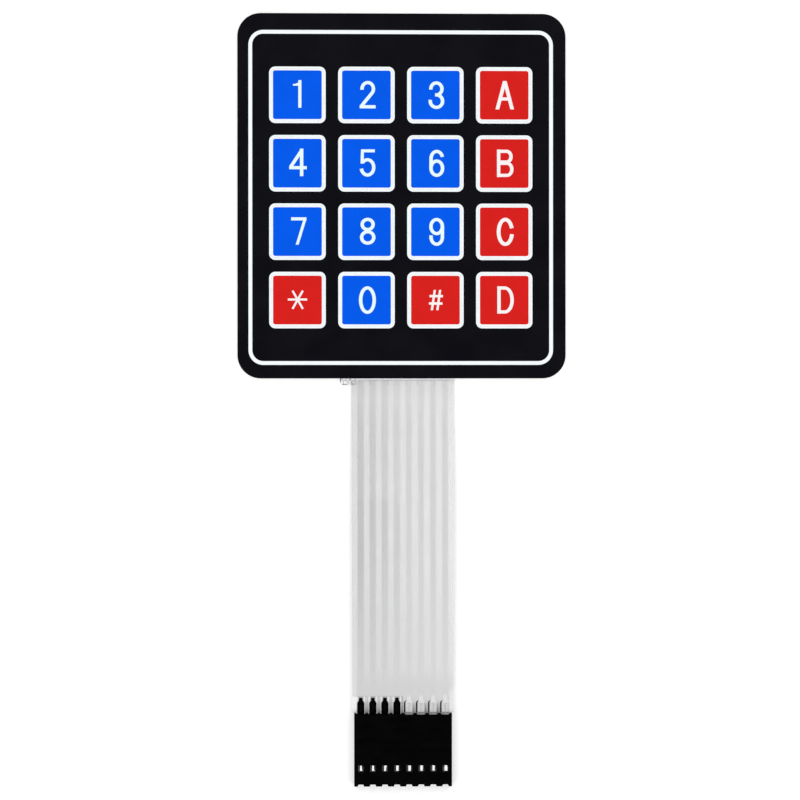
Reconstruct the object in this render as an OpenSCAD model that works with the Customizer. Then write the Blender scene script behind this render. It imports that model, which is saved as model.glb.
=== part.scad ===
// Four by four membrane keypad with a flat film tail and an eight-way female connector.
// It lies face up: +X to the right, +Y to the top of the panel, +Z up, all in millimetres.
// The origin is at the centre of the panel, on the rear face of its release liner.

/* [Panel] */
// Width of the panel, left to right
panel_w = 69.2; // [68:0.1:90]
// Length of the panel, top to bottom
panel_l = 76.9; // [76:0.1:100]
// Radius of the panel's corners
panel_corner_r = 4.9; // [2:0.1:8]

/* [Layers] */
// Thickness of the release liner on the back
liner_t = 0.10; // [0.08:0.01:0.2]
// Thickness of the rear mounting adhesive
rear_adhesive_t = 0.08; // [0.05:0.01:0.15]
// Thickness of each of the two circuit films
film_t = 0.10; // [0.08:0.01:0.15]
// Thickness of the printed silver ink
ink_t = 0.02; // [0.01:0.005:0.03]
// Thickness of the spacer between the circuit films
spacer_t = 0.16; // [0.12:0.01:0.25]
// Thickness of the adhesive under the graphic overlay
overlay_adhesive_t = 0.06; // [0.04:0.01:0.12]
// Thickness of the graphic overlay
overlay_t = 0.20; // [0.12:0.01:0.3]
// Thickness of the coloured print on the overlay
print_t = 0.02; // [0.01:0.005:0.03]

/* [Keys] */
// Distance between key centres, left to right
key_pitch_x = 14.53; // [14:0.01:15.5]
// Distance between key centres, top to bottom
key_pitch_y = 14.40; // [14:0.01:16]
// Outer width of a key's white frame
key_w = 11.9; // [11:0.1:13]
// Outer corner radius of a key's white frame
key_corner_r = 1.3; // [1.2:0.05:2]
// Width of the white line round a key
key_line = 0.82; // [0.8:0.01:0.95]
// Height by which a key is embossed above the panel
emboss_rise = 0.20; // [0.1:0.01:0.4]
// Flat part of the white line outside the embossed edge
emboss_inset = 0.2; // [0.1:0.01:0.3]
// Width of the embossed edge's slope
emboss_run = 0.45; // [0.3:0.01:0.5]

/* [Printed border] */
// Outer width of the white border line
border_w = 64.2; // [62:0.1:66]
// Outer length of the white border line
border_l = 70.5; // [68:0.1:73]
// Width of the white border line
border_line = 0.8; // [0.5:0.01:1.5]
// Outer corner radius of the border line
border_corner_r = 3.1; // [2:0.1:5]
// How far the print sits to the left of the panel's centre
print_left = 0.17; // [0:0.01:0.3]
// How far the print sits below the panel's centre
print_down = 0.35; // [0:0.01:0.4]

/* [Switch matrix] */
// Diameter of the silver contact pads
pad_d = 8.0; // [6:0.1:8.6]
// Diameter of the spacer's hole at each key
spacer_hole_d = 9.6; // [9:0.1:10.5]
// Width of the air channels between the holes
vent_w = 1.2; // [0.8:0.1:2]
// Width of the silver lines inside the panel
line_w = 0.8; // [0.5:0.05:1]
// Distance between neighbouring silver lines
line_pitch = 1.4; // [1.2:0.05:1.5]
// Distance from the panel's edge to the outermost silver line
line_inset = 2.4; // [2:0.1:2.8]

/* [Tail] */
// Free length of the film tail, from the panel to the connector
tail_l = 70.4; // [50:0.1:150]
// Film beyond the outermost track's own pitch, at the panel
tail_margin_root = 0.69; // [0.3:0.01:1.2]
// Film beyond the outermost track's own pitch, at the connector
tail_margin_end = 0.49; // [0.3:0.01:1.2]
// How far the tail sits to the right of the panel's centre
tail_right = 0.2; // [0:0.05:1]
// Width of the silver tracks along the tail
track_w = 1.35; // [0.8:0.05:1.4]
// Length over which the tail rises to the connector's height
tail_rise_l = 24; // [15:1:40]
// Flat length of tail before it starts to rise
tail_flat_l = 1.5; // [1.5:0.1:4]
// Length over which the upper film is cut back, to bare the tracks on the lower one
upper_cut_l = 3.5; // [3.4:0.1:8]
// Length over which the lower film is cut back, to bare the tracks under the upper one
lower_cut_l = 4.9; // [4.8:0.1:8]
// Lip of clear adhesive that shows over the tail's root
lip_l = 0.45; // [0.2:0.05:0.8]
// Width of the clear ear at the tail's left root
ear_w = 2.4; // [1:0.1:4]
// Length of that ear below the panel's edge
ear_l = 1.35; // [1.2:0.05:1.45]
// Corner radius of that ear
ear_r = 0.55; // [0.3:0.05:0.6]

/* [Connector housing] */
// Distance between neighbouring contacts
pitch = 2.54; // [2.5:0.01:2.6]
// Length of the housing, from its cable end to its mating end
housing_l = 15.4; // [14:0.1:18]
// Thickness of the housing
housing_t = 2.5; // [2.4:0.05:3]
// Housing wall beyond the outermost contact's own pitch
housing_end_wall = 0.12; // [0:0.01:0.3]
// Chamfer along the housing's long edges
housing_chamfer = 0.12; // [0.05:0.01:0.25]
// Width and height of each contact cavity
cavity_w = 1.9; // [1.85:0.01:2]
// Thickness of the wall at the mating end, behind its notches
front_wall_t = 0.7; // [0.5:0.05:1]
// Width of the square hole that a header pin enters
pin_hole_w = 0.95; // [0.8:0.01:1]
// Depth of the notches across the mating end
notch_depth = 0.42; // [0.2:0.01:0.6]
// Width of a notch at its mouth
notch_mouth_w = 1.4; // [1.3:0.01:1.6]
// Width of a notch at its bottom
notch_floor_w = 1.0; // [0.9:0.01:1.2]
// Depth of the cable end's cut-outs between the partitions
rear_cut = 0.3; // [0.1:0.05:0.6]
// Width of the latch windows
window_w = 1.2; // [1:0.01:1.4]
// Length of the latch windows
window_l = 1.45; // [1.3:0.01:1.8]
// Distance from the mating end to the middle of the windows
window_y = 3.75; // [3.4:0.05:4.5]
// Width of the recessed triangle that marks one end of the row
mark_w = 2.4; // [1.5:0.1:2.5]
// Length of that triangle
mark_l = 2.1; // [1.5:0.1:3]
// Depth of that triangle
mark_depth = 0.08; // [0.05:0.01:0.15]
// Distance from the cable end to that triangle's tip
mark_y = 5.8; // [5:0.1:7]

/* [Contacts] */
// Thickness of the contacts' sheet metal
sheet_t = 0.2; // [0.15:0.01:0.22]
// Clearance between a contact's box and its cavity, on each side
box_clear = 0.08; // [0.04:0.01:0.12]
// Length of a contact's spring box
box_l = 6.4; // [6:0.1:7.5]
// Width of the crimp
crimp_w = 1.5; // [1.4:0.01:1.6]
// Length of the crimp outside the housing, up to its shoulders
crimp_l = 2.1; // [1.8:0.05:2.4]
// Length of the sloping shoulders above the crimp
shoulder_l = 0.5; // [0.3:0.05:0.6]
// Width of the tab left where the contact was cut from its strip
tab_w = 0.76; // [0.6:0.01:0.9]
// Length of that tab on contacts that lie on the film
tab_l = 0.55; // [0.3:0.05:0.75]
// Length of that tab on contacts that lie under the film
long_tab_l = 1.75; // [0.8:0.05:2]
// Height of the stiffening rib along the crimp
rib_h = 0.06; // [0.03:0.01:0.1]
// Width of that rib
rib_w = 0.3; // [0.2:0.01:0.4]
// Gap between the crimp's two folded wings
wing_gap = 0.08; // [0.04:0.01:0.2]
// Clearance round a wing where it pierces the film
slit_clear = 0.03; // [0.02:0.01:0.05]
// Clearance between the film and a folded wing
fold_clear = 0.02; // [0.01:0.01:0.05]
// Distance from the crimp's wings to the housing, and to the shoulders
wing_inset = 0.15; // [0.1:0.01:0.3]
// Width of the contact's neck inside the housing
neck_w = 1.0; // [0.8:0.05:1.2]
// Length over which the neck drops to the floor of the spring box
neck_drop_l = 1.8; // [1:0.1:3]
// Width of the latch tang that shows in the window
tang_w = 0.66; // [0.5:0.01:0.8]
// Clearance between the latch tang and the window's ends
tang_clear = 0.08; // [0.05:0.01:0.15]
// Depth of the latch tang's tip below the housing's face
tang_depth = 0.1; // [0.05:0.01:0.15]
// How far the tang sits to the right of the window's middle
tang_right = 0.16; // [0:0.01:0.2]
// Width of the seam in the spring box's roof
seam_w = 0.08; // [0.05:0.01:0.12]
// Space between the spring's crest and the box's roof
spring_gap = 0.5; // [0.45:0.01:0.6]

/* [Hidden] */
columns = 4;
rows = 4;
ways = rows + columns;
$fn = 48;

// Heights of the layers, from the floor up
z_adhesive = liner_t;
z_lower_film = z_adhesive + rear_adhesive_t;
z_spacer = z_lower_film + film_t;
z_upper_film = z_spacer + spacer_t;
z_overlay_adhesive = z_upper_film + film_t;
z_overlay = z_overlay_adhesive + overlay_adhesive_t;
z_face = z_overlay + overlay_t;

// The key frame's corner centres, and the foot of the embossed edge measured out from them
key_core = key_w / 2 - key_corner_r;
slope_foot = key_corner_r - emboss_inset;
slope_steps = 3;
// How far that foot laps into the flat film round it
foot_lap = 0.1;
field_r = key_corner_r - key_line;

// The tail: layers are measured from the middle of its thickness
edge_y = -panel_l / 2;
end_y = edge_y - tail_l;
overlap_l = line_inset;
core_half = spacer_t / 2;
skin_half = core_half + film_t;
tail_low_z = z_spacer + core_half;
tail_high_z = housing_t / 2;
rise_y = edge_y - tail_flat_l;
rise_steps = 12;
root_half_w = ways * pitch / 2 + tail_margin_root;
end_half_w = ways * pitch / 2 + tail_margin_end;

// The connector: sizes measured from the housing's cable end
housing_w = ways * pitch + 2 * housing_end_wall;
box_w = cavity_w - 2 * box_clear;
cavity_l = housing_l - notch_depth - front_wall_t;
box_front = -cavity_l + box_clear;
box_back = box_front + box_l;
roof_z = box_w / 2;
window_mid = -housing_l + window_y;
wing_l = crimp_l - 2 * wing_inset;
cut = housing_t / 2;

function key_x(column) = (column - (columns - 1) / 2) * key_pitch_x - print_left;
function key_y(row) = ((rows - 1) / 2 - row) * key_pitch_y - print_down;
function is_red(column, row) = column == columns - 1 || (row == rows - 1 && column != 1);
function track_x(way) = tail_right + (way - (ways + 1) / 2) * pitch;
function smooth(t) = t * t * (3 - 2 * t);
function reversed(points) = [for (i = [len(points) - 1 : -1 : 0]) points[i]];
// The embossed edge in section, an S from its foot inwards to its top, above a height
function embossed_edge(z) = [
    for (i = [0 : slope_steps])
        [slope_foot - emboss_run * i / slope_steps, z + emboss_rise * smooth(i / slope_steps)]
];
function risen(y) = smooth(min(1, max(0, (rise_y - y) / tail_rise_l)));
function tail_z(y) = tail_low_z + (tail_high_z - tail_low_z) * risen(y);
function stations(from_y, to_y) = concat(
    [from_y],
    [for (i = [0 : rise_steps]) rise_y - tail_rise_l * i / rise_steps],
    [to_y]
);
// Half the tail's width at a distance from its end
function tail_half_w(from_end) = end_half_w + (root_half_w - end_half_w) * from_end / tail_l;
// Heights of a row's and a column's line above the panel's lower edge; the last two columns share one
function row_lane(row) = line_inset + row * line_pitch;
function column_lane(column) = line_inset + min(column, columns - 2) * line_pitch;
// Contacts of the rows lie on the lower film, contacts of the columns under the upper one
function lies_on_film(way) = way <= rows;

module rounded_rect(w, l, r) {
    square([w - 2 * r, l], center = true);
    square([w, l - 2 * r], center = true);
    for (x = [-1, 1], y = [-1, 1])
        translate([x * (w / 2 - r), y * (l / 2 - r)])
            circle(r);
}

module sheet(z, t) {
    translate([0, 0, z])
        linear_extrude(t)
            children();
}

module panel_outline() {
    rounded_rect(panel_w, panel_l, panel_corner_r);
}

module at_each_key() {
    for (column = [0 : columns - 1], row = [0 : rows - 1])
        translate([key_x(column), key_y(row)])
            children();
}

// A strip of the tail between two heights above its middle, along its whole gentle rise
module ribbon(x0, x1, from_y, to_y, low, high) {
    ys = stations(from_y, to_y);
    last = len(ys) - 1;
    translate([x0, 0, 0])
        rotate([90, 0, 90])
            linear_extrude(x1 - x0)
                polygon(concat(
                    [for (i = [0 : last]) [ys[i], tail_z(ys[i]) + low]],
                    [for (i = [last : -1 : 0]) [ys[i], tail_z(ys[i]) + high]]
                ));
}

// One layer of the tail, cut to the outline given as children
module tail_layer(low, high) {
    intersection() {
        ribbon(-panel_w / 2, panel_w / 2, edge_y + overlap_l, end_y, low, high);
        translate([tail_right, 0, -cut])
            linear_extrude(housing_t + 2 * cut)
                children();
    }
}

// Outline of one layer's tail, whose halves are cut back by these lengths at the connector
module tail_outline(left_cut, right_cut) {
    polygon([
        [-root_half_w, edge_y + overlap_l],
        [root_half_w, edge_y + overlap_l],
        [root_half_w, edge_y],
        [tail_half_w(right_cut), end_y + right_cut],
        [0, end_y + right_cut],
        [0, end_y + left_cut],
        [-tail_half_w(left_cut), end_y + left_cut],
        [-root_half_w, edge_y]
    ]);
}

// The two slits in the film that one crimp's wings pass through
module crimp_slits(way) {
    for (s = [-1, 1])
        translate([track_x(way) + s * (crimp_w - sheet_t) / 2, end_y + crimp_l / 2, tail_high_z])
            cube([sheet_t + 2 * slit_clear, wing_l + 2 * slit_clear, housing_t], center = true);
}

module release_liner() {
    color("#e9e4d4")
        sheet(0, liner_t)
            panel_outline();
}

module rear_adhesive() {
    color("#e6e6e0")
        sheet(z_adhesive, rear_adhesive_t)
            panel_outline();
}

module lower_circuit_film() {
    color("#e2e3e4")
        difference() {
            union() {
                sheet(z_lower_film, film_t)
                    panel_outline();
                tail_layer(-skin_half, -core_half)
                    tail_outline(0, lower_cut_l);
            }
            for (way = [1 : rows])
                crimp_slits(way);
        }
}

module upper_circuit_film() {
    color("#e2e3e4")
        difference() {
            union() {
                sheet(z_upper_film, film_t)
                    panel_outline();
                tail_layer(core_half, skin_half)
                    tail_outline(upper_cut_l, 0);
            }
            for (way = [rows + 1 : ways])
                crimp_slits(way);
        }
}

// A straight silver line between two points that share an x or a y
module silver_line(x0, y0, x1, y1) {
    translate([(x0 + x1) / 2, (y0 + y1) / 2])
        square([abs(x1 - x0) + line_w, abs(y1 - y0) + line_w], center = true);
}

// A row's pads and its line: out to the left edge, down beside it and in to its track
module row_pattern(row) {
    lane_x = -panel_w / 2 + row_lane(row);
    lane_y = edge_y + row_lane(row);
    for (column = [0 : columns - 1])
        translate([key_x(column), key_y(row)])
            circle(d = pad_d);
    silver_line(lane_x, key_y(row), key_x(columns - 1), key_y(row));
    silver_line(lane_x, lane_y, lane_x, key_y(row));
    silver_line(lane_x, lane_y, track_x(row + 1), lane_y);
}

module row_trace(row) {
    way = row + 1;
    color("#c9cacc")
        difference() {
            union() {
                sheet(z_spacer, ink_t)
                    row_pattern(row);
                ribbon(track_x(way) - track_w / 2, track_x(way) + track_w / 2,
                    edge_y + row_lane(row) + line_w / 2, end_y, -core_half, -core_half + ink_t);
            }
            crimp_slits(way);
        }
}

// A column's pads and its line: down through the column, then across to its track
module column_pattern(column) {
    lane_y = edge_y + column_lane(column);
    for (row = [0 : rows - 1])
        translate([key_x(column), key_y(row)])
            circle(d = pad_d);
    silver_line(key_x(column), key_y(0), key_x(column), lane_y);
    silver_line(key_x(column), lane_y, track_x(rows + 1 + column), lane_y);
}

module column_trace(column) {
    way = rows + 1 + column;
    color("#c9cacc")
        difference() {
            union() {
                sheet(z_upper_film - ink_t, ink_t)
                    column_pattern(column);
                ribbon(track_x(way) - track_w / 2, track_x(way) + track_w / 2,
                    edge_y + column_lane(column) + line_w / 2, end_y, core_half - ink_t, core_half);
            }
            crimp_slits(way);
        }
}

// Round holes at the keys, joined down each column and along the top row so that air can move
module spacer_openings() {
    at_each_key()
        circle(d = spacer_hole_d);
    for (column = [0 : columns - 1])
        translate([key_x(column), -print_down])
            square([vent_w, (rows - 1) * key_pitch_y], center = true);
    translate([-print_left, key_y(0)])
        square([(columns - 1) * key_pitch_x, vent_w], center = true);
}

module spacer() {
    color("#eceded")
        difference() {
            union() {
                sheet(z_spacer, spacer_t)
                    difference() {
                        panel_outline();
                        spacer_openings();
                    }
                tail_layer(-core_half, core_half)
                    tail_outline(upper_cut_l, lower_cut_l);
            }
            for (row = [0 : rows - 1])
                row_trace(row);
            for (column = [0 : columns - 1])
                column_trace(column);
        }
}

// A lip over the tail's root and a small ear beside it stand out past the panel's edge
module overlay_adhesive() {
    ear_x = tail_right - root_half_w;
    color("#dfe0e2")
        sheet(z_overlay_adhesive, overlay_adhesive_t) {
            difference() {
                panel_outline();
                at_each_key()
                    rounded_rect(2 * (key_core + slope_foot), 2 * (key_core + slope_foot), slope_foot);
            }
            translate([ear_x, edge_y - lip_l])
                square([2 * root_half_w, lip_l + overlap_l]);
            translate([ear_x - ear_w / 2 + ear_r, edge_y - ear_l / 2 + ear_r])
                rounded_rect(ear_w + 2 * ear_r, ear_l + 2 * ear_r, ear_r);
        }
}

// A closed band round a key: the profile's x is measured outwards from the corner centres
module key_band(profile) {
    for (quarter = [0 : 3])
        rotate([0, 0, 90 * quarter]) {
            translate([key_core, key_core, 0])
                rotate_extrude(angle = 90)
                    polygon(profile);
            translate([key_core, key_core, 0])
                rotate([90, 0, 0])
                    linear_extrude(2 * key_core)
                        polygon(profile);
        }
}

// The overlay is one embossed film of even thickness, hollow under each raised key
module graphic_overlay() {
    color("#121116")
        translate([0, 0, z_overlay]) {
            linear_extrude(overlay_t)
                difference() {
                    panel_outline();
                    at_each_key()
                        rounded_rect(2 * (key_core + slope_foot), 2 * (key_core + slope_foot), slope_foot);
                }
            at_each_key() {
                key_band(concat(
                    [[slope_foot + foot_lap, 0], [slope_foot + foot_lap, overlay_t]],
                    embossed_edge(overlay_t),
                    [[0, overlay_t + emboss_rise], [0, emboss_rise]],
                    reversed(embossed_edge(0))
                ));
                translate([-key_core, -key_core, emboss_rise])
                    cube([2 * key_core, 2 * key_core, overlay_t]);
            }
        }
}

module print_border() {
    color("white")
        translate([-print_left, -print_down, z_face])
            linear_extrude(print_t)
                difference() {
                    rounded_rect(border_w, border_l, border_corner_r);
                    rounded_rect(border_w - 2 * border_line, border_l - 2 * border_line,
                        border_corner_r - border_line);
                }
}

// Each white frame runs up the embossed edge, from the panel onto the raised key
module print_key_frames() {
    color("white")
        translate([0, 0, z_face])
            at_each_key()
                key_band(concat(
                    [[key_corner_r, 0], [key_corner_r, print_t]],
                    embossed_edge(print_t),
                    [[field_r, emboss_rise + print_t], [field_r, emboss_rise]],
                    reversed(embossed_edge(0))
                ));
}

module key_fields(red) {
    for (column = [0 : columns - 1], row = [0 : rows - 1])
        if (is_red(column, row) == red)
            translate([key_x(column), key_y(row), z_face + emboss_rise])
                linear_extrude(print_t)
                    rounded_rect(2 * (key_core + field_r), 2 * (key_core + field_r), field_r);
}

module print_blue_fields() {
    color("#015bec")
        key_fields(false);
}

module print_red_fields() {
    color("#d8221f")
        key_fields(true);
}

// Moves its children to one way's place: the housing's cable end, at the middle of its thickness
module at_way(way) {
    translate([track_x(way), end_y, tail_high_z])
        children();
}

module housing_block() {
    half_w = housing_w / 2;
    half_t = housing_t / 2;
    c = housing_chamfer;
    translate([tail_right, end_y, tail_high_z])
        rotate([90, 0, 0])
            linear_extrude(housing_l)
                polygon([
                    [-half_w + c, -half_t],
                    [half_w - c, -half_t],
                    [half_w, -half_t + c],
                    [half_w, half_t - c],
                    [half_w - c, half_t],
                    [-half_w + c, half_t],
                    [-half_w, half_t - c],
                    [-half_w, -half_t + c]
                ]);
}

// What is cut from the housing for one contact: cavity, pin hole, notch, window and cable-end cut-out
module way_cuts() {
    translate([0, (cut - cavity_l) / 2, 0])
        cube([cavity_w, cavity_l + cut, cavity_w], center = true);
    translate([0, -housing_l / 2, 0])
        cube([pin_hole_w, housing_l, pin_hole_w], center = true);
    translate([0, 0, -housing_t])
        linear_extrude(2 * housing_t)
            polygon([
                [-notch_mouth_w / 2, -housing_l],
                [-notch_floor_w / 2, -housing_l + notch_depth],
                [notch_floor_w / 2, -housing_l + notch_depth],
                [notch_mouth_w / 2, -housing_l]
            ]);
    translate([-window_w / 2, window_mid - window_l / 2, 0])
        cube([window_w, window_l, housing_t]);
    translate([-cavity_w / 2, -rear_cut, -housing_t])
        cube([cavity_w, rear_cut + cut, 2 * housing_t]);
}

module connector_housing() {
    color("#08080a")
        difference() {
            housing_block();
            for (way = [1 : ways])
                at_way(way)
                    way_cuts();
            translate([track_x(ways) - pitch / 2, end_y - mark_y, housing_t - mark_depth])
                linear_extrude(cut)
                    polygon([[0, 0], [-mark_w / 2, -mark_l], [mark_w / 2, -mark_l]]);
        }
}

// A strip of the contact's sheet, given by its side profile
module side_profile(w, points) {
    translate([-w / 2, 0, 0])
        rotate([90, 0, 90])
            linear_extrude(w)
                polygon(points);
}

// The flat of the crimp with its shoulders and cut-off tab, seen from above
module crimp_outline(tab) {
    half = crimp_w / 2;
    tip = crimp_l + shoulder_l;
    polygon([
        [-half, -cavity_w / 2],
        [half, -cavity_w / 2],
        [half, crimp_l],
        [tab_w / 2, tip],
        [tab_w / 2, tip + tab],
        [-tab_w / 2, tip + tab],
        [-tab_w / 2, tip],
        [-half, crimp_l]
    ]);
}

// The crimp lies on the film and its wings pierce it and fold under: the base's lower face is at z = 0
module crimp(tab) {
    fold_z = -ink_t - film_t - fold_clear - sheet_t;
    half = crimp_w / 2;
    linear_extrude(sheet_t)
        crimp_outline(tab);
    translate([0, wing_inset + wing_l, sheet_t])
        rotate([90, 0, 0])
            linear_extrude(wing_l)
                polygon([[-rib_w / 2, 0], [rib_w / 2, 0], [rib_w / 4, rib_h], [-rib_w / 4, rib_h]]);
    for (s = [-1, 1])
        translate([0, wing_inset + wing_l, 0])
            rotate([90, 0, 0])
                linear_extrude(wing_l)
                    polygon([
                        [s * half, sheet_t / 2],
                        [s * half, fold_z + sheet_t / 2],
                        [s * (half - sheet_t / 2), fold_z],
                        [s * wing_gap / 2, fold_z],
                        [s * wing_gap / 2, fold_z + sheet_t],
                        [s * (half - sheet_t), fold_z + sheet_t],
                        [s * (half - sheet_t), sheet_t / 2]
                    ]);
}

// The neck runs from the crimp's level down to the floor of the spring box
module contact_neck(base_z) {
    floor_z = -roof_z;
    bend = sheet_t;
    side_profile(neck_w, [
        [0, base_z],
        [0, base_z + sheet_t],
        [box_back + neck_drop_l, base_z + sheet_t],
        [box_back + bend, floor_z + sheet_t],
        [box_back - bend, floor_z + sheet_t],
        [box_back - bend, floor_z],
        [box_back + bend, floor_z],
        [box_back + neck_drop_l, base_z]
    ]);
}

// A square tube of folded sheet, with a seam and a latch tang in its roof and a leaf spring inside
module spring_box() {
    inner = box_w - 2 * sheet_t;
    root_y = window_mid - window_l / 2 + tang_clear;
    tip_y = window_mid + window_l / 2 - tang_clear;
    tip_z = housing_t / 2 - tang_depth;
    crest_z = roof_z - sheet_t - spring_gap;
    floor_z = -roof_z + sheet_t / 2;
    difference() {
        translate([0, (box_front + box_back) / 2, 0])
            cube([box_w, box_l, box_w], center = true);
        translate([0, (box_front + box_back) / 2, 0])
            cube([inner, box_l + cut, inner], center = true);
        translate([tang_right - tang_w / 2 - seam_w, box_front - cut, 0])
            cube([seam_w, box_l + 2 * cut, roof_z + cut]);
    }
    translate([tang_right, 0, 0])
        side_profile(tang_w, [
            [root_y, roof_z - sheet_t],
            [root_y, roof_z],
            [tip_y, tip_z],
            [tip_y, tip_z - sheet_t]
        ]);
    side_profile(neck_w, [
        [box_back, floor_z],
        [box_front + box_l / 3, crest_z - sheet_t],
        [box_front + 2 * sheet_t, floor_z],
        [box_front + sheet_t, floor_z],
        [box_front + box_l / 3, crest_z],
        [box_back, floor_z + sheet_t]
    ]);
}

module contact(way) {
    ink_face = core_half - ink_t;
    color(lies_on_film(way) ? "#2a2b2e" : "#d5d6d8")
        at_way(way) {
            if (lies_on_film(way)) {
                translate([0, 0, -ink_face])
                    crimp(tab_l);
                contact_neck(-ink_face);
            } else {
                translate([0, 0, ink_face])
                    mirror([0, 0, 1])
                        crimp(long_tab_l);
                contact_neck(ink_face - sheet_t);
            }
            spring_box();
        }
}

release_liner();
rear_adhesive();
lower_circuit_film();
for (row = [0 : rows - 1])
    row_trace(row);
spacer();
upper_circuit_film();
for (column = [0 : columns - 1])
    column_trace(column);
overlay_adhesive();
graphic_overlay();
print_border();
print_key_frames();
print_blue_fields();
print_red_fields();
connector_housing();
for (way = [1 : ways])
    contact(way);
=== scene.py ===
# Looks of the four by four membrane keypad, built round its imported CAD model.
# Shapes are worked out in millimetres in the model's own frame, and meshes are made in metres.
import math
from functools import cached_property, reduce

import bpy
from mathutils import Matrix, Vector, geometry, noise


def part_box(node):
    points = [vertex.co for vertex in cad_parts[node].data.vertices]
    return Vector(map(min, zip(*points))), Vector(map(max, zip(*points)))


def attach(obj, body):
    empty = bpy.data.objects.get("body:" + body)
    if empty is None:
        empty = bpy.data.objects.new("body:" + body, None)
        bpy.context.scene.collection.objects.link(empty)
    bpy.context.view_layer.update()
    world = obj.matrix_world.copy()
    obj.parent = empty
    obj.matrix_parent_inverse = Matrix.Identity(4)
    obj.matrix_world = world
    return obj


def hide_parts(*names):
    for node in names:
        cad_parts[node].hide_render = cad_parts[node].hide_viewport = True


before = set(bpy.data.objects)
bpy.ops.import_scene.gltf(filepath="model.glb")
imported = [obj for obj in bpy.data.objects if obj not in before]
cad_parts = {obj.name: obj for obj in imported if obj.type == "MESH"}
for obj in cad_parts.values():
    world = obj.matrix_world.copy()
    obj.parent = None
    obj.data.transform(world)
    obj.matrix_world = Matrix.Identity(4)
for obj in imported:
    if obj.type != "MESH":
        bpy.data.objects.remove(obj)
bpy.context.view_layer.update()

MM = 0.001


def box_mm(node):
    """Lowest and highest corner of a CAD node, in millimetres."""
    low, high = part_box(node)
    return low / MM, high / MM


# Places read from the CAD model
WAYS = 8
ROW_WAYS = 4
panel_low, panel_high = box_mm("graphic_overlay")
adhesive_low, adhesive_high = box_mm("overlay_adhesive")
frames_low, frames_high = box_mm("print_key_frames")
housing_low, housing_high = box_mm("connector_housing")
spacer_z = box_mm("spacer")[0].z
fields_top = box_mm("print_blue_fields")[1].z
way_x = [sum(corner.x for corner in box_mm(f"contact_{i}")) / 2 for i in range(1, WAYS + 1)]
way_pitch = (way_x[-1] - way_x[0]) / (WAYS - 1)
edge_y = panel_low.y
cable_end_y = housing_high.y
tail_middle_x = (housing_low.x + housing_high.x) / 2

# Layers and corners of the films, as in the CAD model
FILM_T = 0.10
SPACER_T = 0.16
PANEL_CORNER_R = 4.9

# Clearance between the films and adhesive made here and what lies against them, halved over the adhesive
CLEARANCE = 0.01

# The tail's plan and its gentle rise
TAIL_RISE_START = 1.5
TAIL_RISE_L = 24
TAIL_RISE_STEPS = 12
TAIL_OVERLAP = 2.4
TAIL_ROOT_HALF_W = 10.85
TAIL_END_HALF_W = 10.65
UPPER_CUT_L = 3.5
LOWER_CUT_L = 4.9
tail_left_x = tail_middle_x - TAIL_ROOT_HALF_W

# Keys
KEYS = ("123A", "456B", "789C", "*0#D")
KEY_W = 11.9
LEGEND_T = 0.02
GLYPH_NAMES = {"*": "star", "#": "hash"}

# The clear adhesive: its openings, and the lip and ear that stand out
ADHESIVE_HOLE_W = 11.5
ADHESIVE_HOLE_R = 1.1
LIP_L = 0.38
EAR_W = 2.4
EAR_R = 0.8

# The fine net over its lip and ear, whose rows start this far left of the tail, and the crinkles there
NET_LEFT_L = 3
NET_STEP = 0.15
NET_ROWS = 9
NET_COLUMNS = 165
CRINKLE_DEPTH = 0.05
CRINKLE_START_L = 0.3
CRINKLES_PER_MM = (1.6, 2.2)
CRINKLE_LIFT = 0.4

# How far helping lines run past the shape that they divide
LINE_OVERHANG = 1

# Camera: it looks almost straight down on a point of the tail, close to the panel
VIEW_TARGET = (-0.36, -43.0, 0.0)
VIEW_DISTANCE = 600
VIEW_TILTS = (-0.12, -1.72, -0.03)
VIEW_LENS = 127.94
SENSOR_W = 36

# Lengths of the stage, in metres
VIEW_NEAR = 0.01
VIEW_FAR = 10
FLOOR_HALF_W = 1.5
FLOOR_Z = -0.00002
LAMP_DISTANCE = 0.85
LAMP_SIZE = 0.55

# Light: the grey all round, the floor's own glow, and the power that the softboxes share
AMBIENT = 0.5
FLOOR_GLOW = 0.41
LAMP_POWER = 1.36
# Each softbox's direction, its height above the horizon, and its share of the power
LAMPS = ((-50, 52, 1.1), (40, 50, 1.0), (140, 50, 0.9), (-140, 52, 1.0))
# Gloss reflects a sky that changes from the first light to the second between two heights, 1 being its top
CEILING_HEIGHTS = (0.84, 0.965)
CEILING_LIGHTS = (0.9, 0.02)


# Flat shapes

def anticlockwise(points):
    """The points in anticlockwise order."""
    sides = zip(points, points[1:] + points[:1])
    area = sum(a[0] * b[1] - b[0] * a[1] for a, b in sides)
    return points if area > 0 else points[::-1]


def box(x0, x1, y0, y1):
    return [(x0, y0), (x1, y0), (x1, y1), (x0, y1)]


def arc(cx, cy, rx, ry, start, end, step=9):
    """Points along an ellipse between two angles in degrees."""
    count = max(2, round(abs(end - start) / step))
    angles = [math.radians(start + (end - start) * i / count) for i in range(count + 1)]
    return [(cx + rx * math.cos(a), cy + ry * math.sin(a)) for a in angles]


def rounded_box(x0, x1, y0, y1, r):
    corners = ((x1 - r, y0 + r, -90), (x1 - r, y1 - r, 0), (x0 + r, y1 - r, 90), (x0 + r, y0 + r, 180))
    return [p for cx, cy, start in corners for p in arc(cx, cy, r, r, start, start + 90)]


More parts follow.
